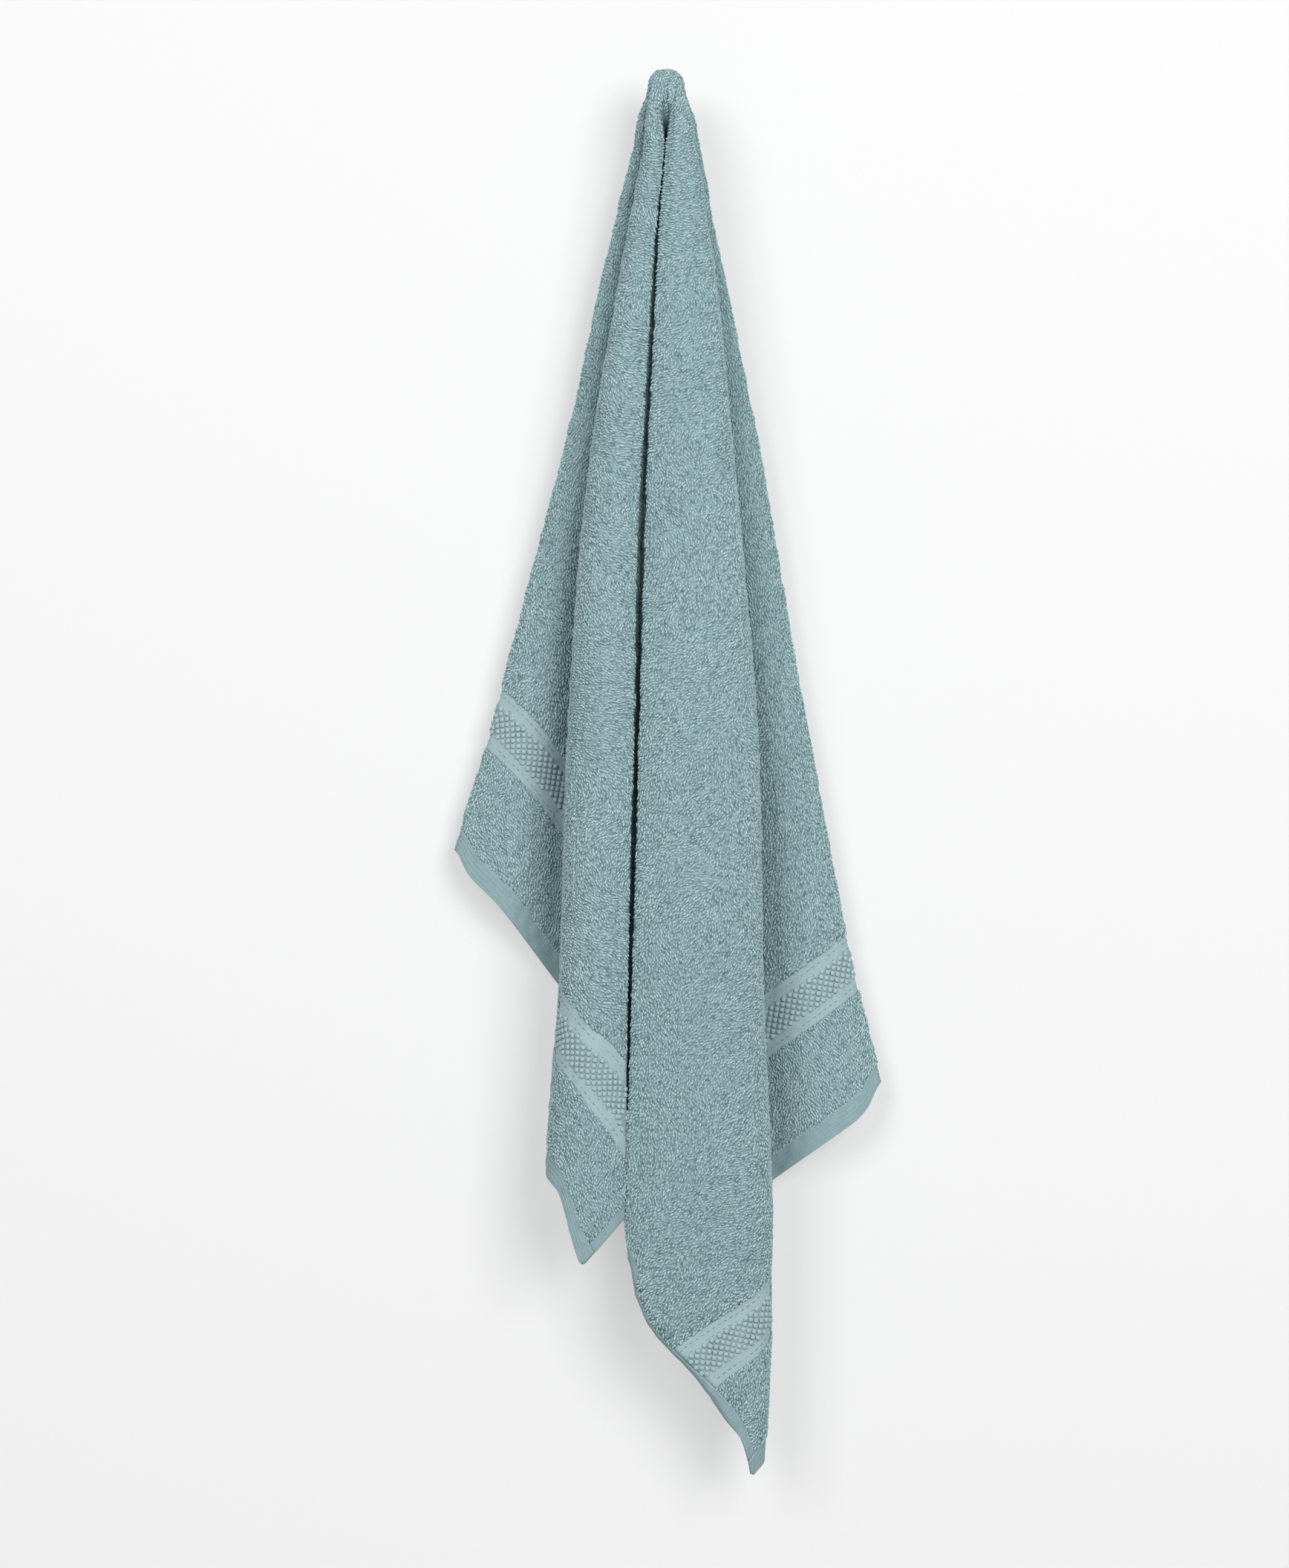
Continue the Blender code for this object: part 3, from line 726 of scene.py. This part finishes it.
def grid_sheet(limits, step_x, step_y):
    """A rectangle of the flat cloth as a plain grid."""
    low_x, high_x, low_y, high_y = limits
    across = np.linspace(low_x, high_x, max(2, round((high_x - low_x) / step_x) + 1))
    up = np.linspace(low_y, high_y, max(2, round((high_y - low_y) / step_y) + 1))
    flat = np.array([(x, y) for y in up for x in across])
    count = len(across)
    faces = [
        [j * count + i, j * count + i + 1, (j + 1) * count + i + 1, (j + 1) * count + i]
        for j in range(len(up) - 1)
        for i in range(count - 1)
    ]
    return flat, faces


def end_strip(end, inward, near, far, beside_hems=True):
    """The limits of a strip across the towel, near and far being its distances from that end."""
    low_x, high_x = sorted((end + inward * near, end + inward * far))
    inset = SIDE_HEM if beside_hems else 0
    return low_x, high_x, FRONT + inset, BACK - inset


ENDS = (("left", LEFT, 1), ("right", RIGHT, -1))
on_the_field = [*field_pile]
for side, end, inward in ENDS:
    strip = grid_sheet(end_strip(end, inward, END_HEM, BAND_FROM_END), 0.0025, 0.0022)
    end_cloth = cloth(f"end_cloth_{side}", *strip, TERRY_THICKNESS, ground.material, lumps)
    end_pile = piled(f"end_pile_{side}", end_cloth, [(1, 0, 2), (0, 0, 2)], f"end_terry_{side}", 200)
    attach(end_cloth, "root")
    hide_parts(f"end_terry_{side}")
    on_the_field += [end_cloth, *end_pile]

# ---------------------------------------------------------------------------------------------------
# The woven bands: flat borders without pile near each end. The middle is a weave of raised beads, set
# corner to corner, and a plain strip on each side of it carries two rows of running stitches.

BAND_THICKNESS = 0.0018
BEAD_PITCH = 0.0042
BEAD_ROWS_HALF_WIDTH = 0.0112
BEAD = {"length": 0.0040, "width": 0.0040, "height": 0.0018, "turn": math.pi / 4}
BEAD_STANDS_OUT = 0.0007
STITCH_ROWS = (0.0055, 0.0110)
STITCH_PITCH = 0.0050
STITCH = {"length": 0.0031, "width": 0.0005, "height": 0.0004}
BAND_TEAL = (0.285, 0.405, 0.425)
BAND_LIGHT = (0.340, 0.465, 0.488)
BEAD_GAP_SHADE_TEAL = (0.245, 0.355, 0.375)
STITCH_TEAL = (0.100, 0.170, 0.185)
STITCH_DEEP = (0.09, 0.16, 0.175)

band_finish = Finish("woven_band", 0.8, sheen=0.1, specular=0.35)
where = band_finish.attribute("flat")
ribs = band_finish.node(
    "ShaderNodeTexWave",
    {"bands_direction": "Y"},
    {"Vector": where, "Scale": 260.0, "Distortion": 1.2, "Detail": 2.0, "Detail Scale": 3.0},
)
speckle = band_finish.noise(where, 900.0)
along_towel = band_finish.node("ShaderNodeSeparateXYZ", {}, {0: where})["X"]
from_towel_middle = abs(along_towel - (LEFT + RIGHT) / 2)
from_band_middle = abs(from_towel_middle - (LENGTH / 2 - BAND_FROM_END - BAND_WIDTH / 2))
# Among the beads the band is coloured darker: painted shade in the gaps between the raised beads.
among_beads = from_band_middle < BEAD_ROWS_HALF_WIDTH - 0.001
painted_bead_gap_shade = 1 - 0.8 * among_beads
band_finish.colour(
    painted_bead_gap_shade * (0.7 + 0.15 * speckle + 0.15 * ribs["Fac"]),
    [(0.1, BEAD_GAP_SHADE_TEAL), (0.7, BAND_TEAL), (1.0, BAND_LIGHT)],
)
band_finish.height(0.6 * ribs["Fac"] + 0.4 * speckle, 0.00035, 0.8)

bead_finish = Finish("band_beads", 0.75, sheen=0.1, specular=0.35)
place = bead_finish.place()
bead_finish.colour(bead_finish.noise(place, 700.0), [(0.3, BAND_TEAL), (0.7, BAND_LIGHT)])
bead_finish.height(bead_finish.noise(place, 1800.0), 0.0002, 0.6)

stitch_finish = Finish("running_stitch", 0.85)
place = stitch_finish.place()
stitch_finish.colour(stitch_finish.noise(place, 900.0), [(0.3, STITCH_TEAL), (0.7, STITCH_DEEP)])
stitch_finish.height(stitch_finish.noise(place, 2400.0), 0.0001)


def set_tree(name, shape):
    """Sets a small shape at each point of a mesh, squared up to its "out" and "run" attributes. shape is
    "bead", a rounded block, or "stitch", a short thread."""
    sizes = {"Length": 0.003, "Width": 0.003, "Height": 0.003, "Turn": 0.0}
    tree, nodes, given = new_tree(name, "Spots", sizes, "Shapes")
    out = nodes.node("GeometryNodeInputNamedAttribute", {"data_type": "FLOAT_VECTOR"}, {"Name": "out"})
    run = nodes.node("GeometryNodeInputNamedAttribute", {"data_type": "FLOAT_VECTOR"}, {"Name": "run"})
    laid = nodes.node(
        "FunctionNodeAxesToRotation",
        {"primary_axis": "Z", "secondary_axis": "X"},
        {"Primary Axis": out, "Secondary Axis": run},
    )
    turn = nodes.node("ShaderNodeCombineXYZ", {}, {"Z": given["Turn"]})
    turned = nodes.node(
        "FunctionNodeRotateRotation", {"rotation_space": "LOCAL"}, {"Rotation": laid, "Rotate By": turn}
    )
    if shape == "bead":
        block = nodes.node("GeometryNodeMeshCube", {}, {"Size": (1.2, 1.2, 1.2)})
        solid = nodes.node("GeometryNodeSubdivisionSurface", {}, {"Mesh": block, "Level": 1})
    else:
        solid = nodes.node("GeometryNodeMeshUVSphere", {}, {"Segments": 6, "Rings": 4, "Radius": 0.5})
    sized = nodes.node("GeometryNodeTransform", {}, {"Geometry": solid, "Scale": nodes.size(given)})
    spots = nodes.node(
        "GeometryNodeInstanceOnPoints", {}, {"Points": given, "Instance": sized, "Rotation": turned}
    )
    nodes.finished(spots, given["Finish"])
    return tree


BEADS, STITCHES = set_tree("beads", "bead"), set_tree("stitches", "stitch")


def spots_on(name, flat, run, thickness, stands_out=0.0):
    """Points on both faces of the cloth where it shows, with the "out" and "run" directions that the
    small shapes are squared up to."""
    half = half_thickness(flat, thickness)
    centre, out, runs = hung(flat), facing(flat), heading(flat, run)
    places, outs, ways = [], [], []
    for sign in (1, -1):
        spot = centre + sign * out * (half + stands_out)[:, None]
        seen = shows(centre + sign * out * half[:, None], sign * out) > 0
        places.append(spot[seen])
        outs.append(sign * out[seen])
        ways.append(runs[seen])
    places, outs, ways = (np.concatenate(each) for each in (places, outs, ways))
    mesh = bpy.data.meshes.new(name)
    mesh.from_pydata(places.tolist(), [], [])
    for attribute, values in (("out", outs), ("run", ways)):
        made = mesh.attributes.new(attribute, "FLOAT_VECTOR", "POINT")
        made.data.foreach_set("vector", np.ascontiguousarray(values, dtype=np.float32).ravel())
    return mesh


def evenly(start, end, pitch):
    """Flat points on a line, so far apart that they are evenly spaced once the cloth hangs."""
    share = np.linspace(0, 1, 3000)[:, None]
    line = np.array(start) * (1 - share) + np.array(end) * share
    steps = np.linalg.norm(np.diff(hung(line), axis=0), axis=1)
    travelled = np.concatenate([[0], np.cumsum(steps)])
    stops = np.arange(pitch / 2, travelled[-1], pitch)
    return np.column_stack([np.interp(stops, travelled, line[:, axis]) for axis in (0, 1)])


def squared_off(start, offsets):
    """Flat points in a row across the band, at right angles to it once the cloth hangs."""
    start, step = np.array([start]), 0.0005
    across = (hung(start + (step, 0)) - hung(start - (step, 0)))[0] / (2 * step)
    lengthways = (hung(start + (0, step)) - hung(start - (0, step)))[0] / (2 * step)
    slant = across @ lengthways / (lengthways @ lengthways)
    reach = np.asarray(offsets) / np.linalg.norm(across - slant * lengthways)
    reach = reach[np.abs(reach) < BEAD_ROWS_HALF_WIDTH]
    return start + np.column_stack([reach, -slant * reach])


BEAD_WEAVE_RISE, BEAD_WEAVE_SLOPE, BAND_UNEVENNESS = 0.0003, 0.0015, 0.00025


def band_relief(flat):
    """The bead weave stands a little higher than the plain strips beside it."""
    from_end = np.minimum(flat[:, 0] - LEFT, RIGHT - flat[:, 0]) - BAND_FROM_END
    from_middle = np.abs(from_end - BAND_WIDTH / 2)
    raised = 1 - np.clip((from_middle - BEAD_ROWS_HALF_WIDTH) / BEAD_WEAVE_SLOPE, 0, 1)
    uneven = waves(flat, 0.01, 0.03, count=7, seed=31)
    return BEAD_WEAVE_RISE * raised + BAND_UNEVENNESS * uneven


for side, end, inward in ENDS:
    strip = end_strip(end, inward, BAND_FROM_END, BAND_FROM_END + BAND_WIDTH)
    low_y, high_y = strip[2:]
    weave = grid_sheet(strip, 0.0016, 0.0022)
    band = cloth(f"band_cloth_{side}", *weave, BAND_THICKNESS, band_finish.material, band_relief)
    middle = end + inward * (BAND_FROM_END + BAND_WIDTH / 2)
    half_step = BEAD_PITCH / math.sqrt(2)
    columns = evenly((middle, low_y), (middle, high_y), half_step)[:, 1]
    bead_rows = [
        squared_off((middle, y), half_step * (2 * np.arange(-4, 5) + number % 2))
        for number, y in enumerate(columns)
    ]
    bead_flat = np.concatenate(bead_rows)
    bead_spots = spots_on(f"bead_spots_{side}", bead_flat, (0, 1), BAND_THICKNESS, BEAD_STANDS_OUT)
    beads = grown(f"band_beads_{side}", bead_spots, BEADS, **BEAD, finish=bead_finish.material)
    stitch_rows = [*STITCH_ROWS, *(BAND_WIDTH - row for row in STITCH_ROWS)]
    row_places = [end + inward * (BAND_FROM_END + row) for row in stitch_rows]
    stitch_flat = np.concatenate([evenly((x, low_y), (x, high_y), STITCH_PITCH) for x in row_places])
    stitch_spots = spots_on(f"stitch_spots_{side}", stitch_flat, (0, 1), BAND_THICKNESS)
    stitches = grown(
        f"band_stitches_{side}", stitch_spots, STITCHES, **STITCH, finish=stitch_finish.material
    )
    for each in (band, beads, stitches):
        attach(each, "root")
        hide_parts(f"woven_band_{side}")
    on_the_field += [band, beads, stitches]

# ---------------------------------------------------------------------------------------------------
# The end hems: at each end the bare ground cloth is turned over twice and sewn down with lockstitches.

HEM_THICKNESS = 0.0026
SHADED_HEM_TEAL = (0.190, 0.287, 0.305)
HEM_LIGHT = (0.265, 0.375, 0.395)
THREAD_LIGHT = (0.420, 0.560, 0.585)
LOCKSTITCH_PITCH = 0.0032
LOCKSTITCH = {"length": 0.0030, "width": 0.0009, "height": 0.0009}

hem_finish = Finish("hem_cloth", 0.88, sheen=0.1)
where = hem_finish.attribute("flat")
speckle = hem_finish.noise(where, 800.0)
blotches = hem_finish.noise(where, 90.0)
# The hem cloth is the towel's own teal; the dark end of its colour is painted shade that darkens the
# whole hem.
hem_finish.colour(0.6 * speckle + 0.4 * blotches, [(0.3, SHADED_HEM_TEAL), (0.7, HEM_LIGHT)])
hem_finish.height(speckle, 0.0004, 0.9)

thread_finish = Finish("sewing_thread", 0.75, sheen=0.1)
place = thread_finish.place()
thread_finish.colour(thread_finish.noise(place, 900.0), [(0.3, HEM_LIGHT), (0.7, THREAD_LIGHT)])
thread_finish.height(thread_finish.noise(place, 2400.0), 0.0001)


END_RIB_PITCH, END_RIB_HEIGHT = 0.0036, 0.0004
HEM_UNEVENNESS = 0.0002


def ribs_along(flat, edge_distance, pitch, height):
    """Fine uneven ribs that run along a hem."""
    ribs = 0.5 + 0.5 * np.cos(2 * math.pi * edge_distance / pitch)
    return height * ribs + HEM_UNEVENNESS * waves(flat, 0.006, 0.02, count=7, seed=41)


def lockstitches(name, start, end, run):
    """A row of stitches in sewing thread between two flat points, on both faces of a hem."""
    spots = spots_on(f"{name}_spots", evenly(start, end, LOCKSTITCH_PITCH), run, HEM_THICKNESS)
    return grown(name, spots, STITCHES, **LOCKSTITCH, finish=thread_finish.material)


def end_hem_relief(flat):
    from_end = np.minimum(flat[:, 0] - LEFT, RIGHT - flat[:, 0])
    return ribs_along(flat, from_end, END_RIB_PITCH, END_RIB_HEIGHT)


for side, end, inward in ENDS:
    strip = grid_sheet(end_strip(end, inward, 0, END_HEM, beside_hems=False), 0.0009, 0.0024)
    hem = cloth(f"end_hem_cloth_{side}", *strip, HEM_THICKNESS, hem_finish.material, end_hem_relief)
    seam_x = end + inward * (END_HEM - 0.0012)
    thread = lockstitches(f"end_hem_stitches_{side}", (seam_x, FRONT), (seam_x, BACK), (0, 1))
    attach(hem, "root")
    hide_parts(f"end_hem_{side}")
    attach(thread, "root")
    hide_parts(f"end_hem_thread_{side}")
    on_the_field += [hem, thread]

# ---------------------------------------------------------------------------------------------------
# The side hems: along both long sides the edge is rolled narrow and oversewn, so it feels ribbed.


SIDE_RIB_PITCH, SIDE_RIB_HEIGHT = 0.0026, 0.0005


def side_hem_relief(flat):
    from_side = np.minimum(flat[:, 1] - FRONT, BACK - flat[:, 1])
    return ribs_along(flat, from_side, SIDE_RIB_PITCH, SIDE_RIB_HEIGHT)


for side, edge, inward in (("front", FRONT, 1), ("back", BACK, -1)):
    low_y, high_y = sorted((edge, edge + inward * SIDE_HEM))
    low_x, high_x = LEFT + END_HEM, RIGHT - END_HEM
    strip = grid_sheet((low_x, high_x, low_y, high_y), 0.0022, 0.0009)
    hem = cloth(f"side_hem_cloth_{side}", *strip, HEM_THICKNESS, hem_finish.material, side_hem_relief)
    seam_y = edge + inward * (SIDE_HEM - 0.001)
    thread = lockstitches(f"side_hem_stitches_{side}", (low_x, seam_y), (high_x, seam_y), (1, 0))
    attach(hem, "root")
    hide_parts(f"side_hem_{side}")
    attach(thread, "root")
    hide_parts(f"side_hem_thread_{side}")
    on_the_field += [hem, thread]

# ---------------------------------------------------------------------------------------------------
# The room: a plain white wall close behind the towel, a pale floor, and soft light from the front on
# both sides. The wall is seen only from the room, and a third lamp lights the back of the towel.


def panel(name, corners, colour, glow=0.0, one_way=False):
    """A plain flat surface that belongs to the room. A one-way wall is seen only from the room."""
    mesh = bpy.data.meshes.new(name)
    mesh.from_pydata(corners, [], [(0, 1, 2, 3)])
    room_finish = bpy.data.materials.new(name)
    room_finish.use_nodes = True
    nodes = Nodes(room_finish.node_tree)
    surface = room_finish.node_tree.nodes["Principled BSDF"]
    surface.inputs["Base Color"].default_value = (*colour, 1)
    surface.inputs["Roughness"].default_value = 0.95
    surface.inputs["Specular IOR Level"].default_value = 0.1
    surface.inputs["Emission Color"].default_value = (1, 1, 1, 1)
    surface.inputs["Emission Strength"].default_value = glow
    if one_way:
        behind = nodes.node("ShaderNodeNewGeometry")["Backfacing"]
        clear = nodes.node("ShaderNodeBsdfTransparent")
        solid = Value(nodes, surface.outputs[0])
        both = nodes.node("ShaderNodeMixShader", {}, {0: behind, 1: solid, 2: clear})
        output = room_finish.node_tree.nodes["Material Output"]
        room_finish.node_tree.links.new(both.socket, output.inputs[0])
    mesh.materials.append(room_finish)
    made = bpy.data.objects.new(name, mesh)
    bpy.context.scene.collection.objects.link(made)


WALL_Y, FLOOR_Z, CEILING_Z = 0.052, -1.9, 3
HALF_WIDTH, ROOM_FRONT, ROOM_BACK = 4, -5, 4
WALL_WHITE, WALL_GLOW, FLOOR_PALE = (0.40, 0.40, 0.40), 0.42, (0.35, 0.35, 0.35)
wall_corners = [
    (-HALF_WIDTH, WALL_Y, FLOOR_Z),
    (HALF_WIDTH, WALL_Y, FLOOR_Z),
    (HALF_WIDTH, WALL_Y, CEILING_Z),
    (-HALF_WIDTH, WALL_Y, CEILING_Z),
]
floor_corners = [
    (-HALF_WIDTH, ROOM_FRONT, FLOOR_Z),
    (HALF_WIDTH, ROOM_FRONT, FLOOR_Z),
    (HALF_WIDTH, ROOM_BACK, FLOOR_Z),
    (-HALF_WIDTH, ROOM_BACK, FLOOR_Z),
]
panel("wall", wall_corners, WALL_WHITE, WALL_GLOW, one_way=True)
panel("floor", floor_corners, FLOOR_PALE)


TOWEL_MIDDLE = (0, 0, -0.5)


def lamp(name, place, size, power):
    """A square soft light that points at the towel's middle."""
    data = bpy.data.lights.new(name, "AREA")
    data.shape, data.size, data.energy = "SQUARE", size, power
    made = bpy.data.objects.new(name, data)
    made.location = place
    made.rotation_euler = (Vector(TOWEL_MIDDLE) - Vector(place)).to_track_quat("-Z", "Y").to_euler()
    bpy.context.scene.collection.objects.link(made)


lamp("key", (1.5, -3.1, 0.5), 1.9, 108)
lamp("fill", (-1.7, -3.0, 1.0), 1.7, 82)
lamp("behind", (0.5, 2.6, 1.2), 2.0, 75)

world = bpy.data.worlds.new("room_light")
world.use_nodes = True
world.node_tree.nodes["Background"].inputs["Color"].default_value = (0.98, 0.99, 1, 1)
world.node_tree.nodes["Background"].inputs["Strength"].default_value = 0.13
bpy.context.scene.world = world
bpy.context.scene.view_settings.view_transform = "Standard"

PICTURE_HEIGHT = 1.172
CAMERA_DISTANCE = 3.0
eye = bpy.data.cameras.new("camera")
eye.sensor_width = 36
eye.lens = 36 * CAMERA_DISTANCE / PICTURE_HEIGHT
camera = bpy.data.objects.new("camera", eye)
camera.location = (-0.016, -CAMERA_DISTANCE, -0.533)
camera.rotation_euler = (math.pi / 2, 0, 0)
bpy.context.scene.collection.objects.link(camera)
bpy.context.scene.camera = camera
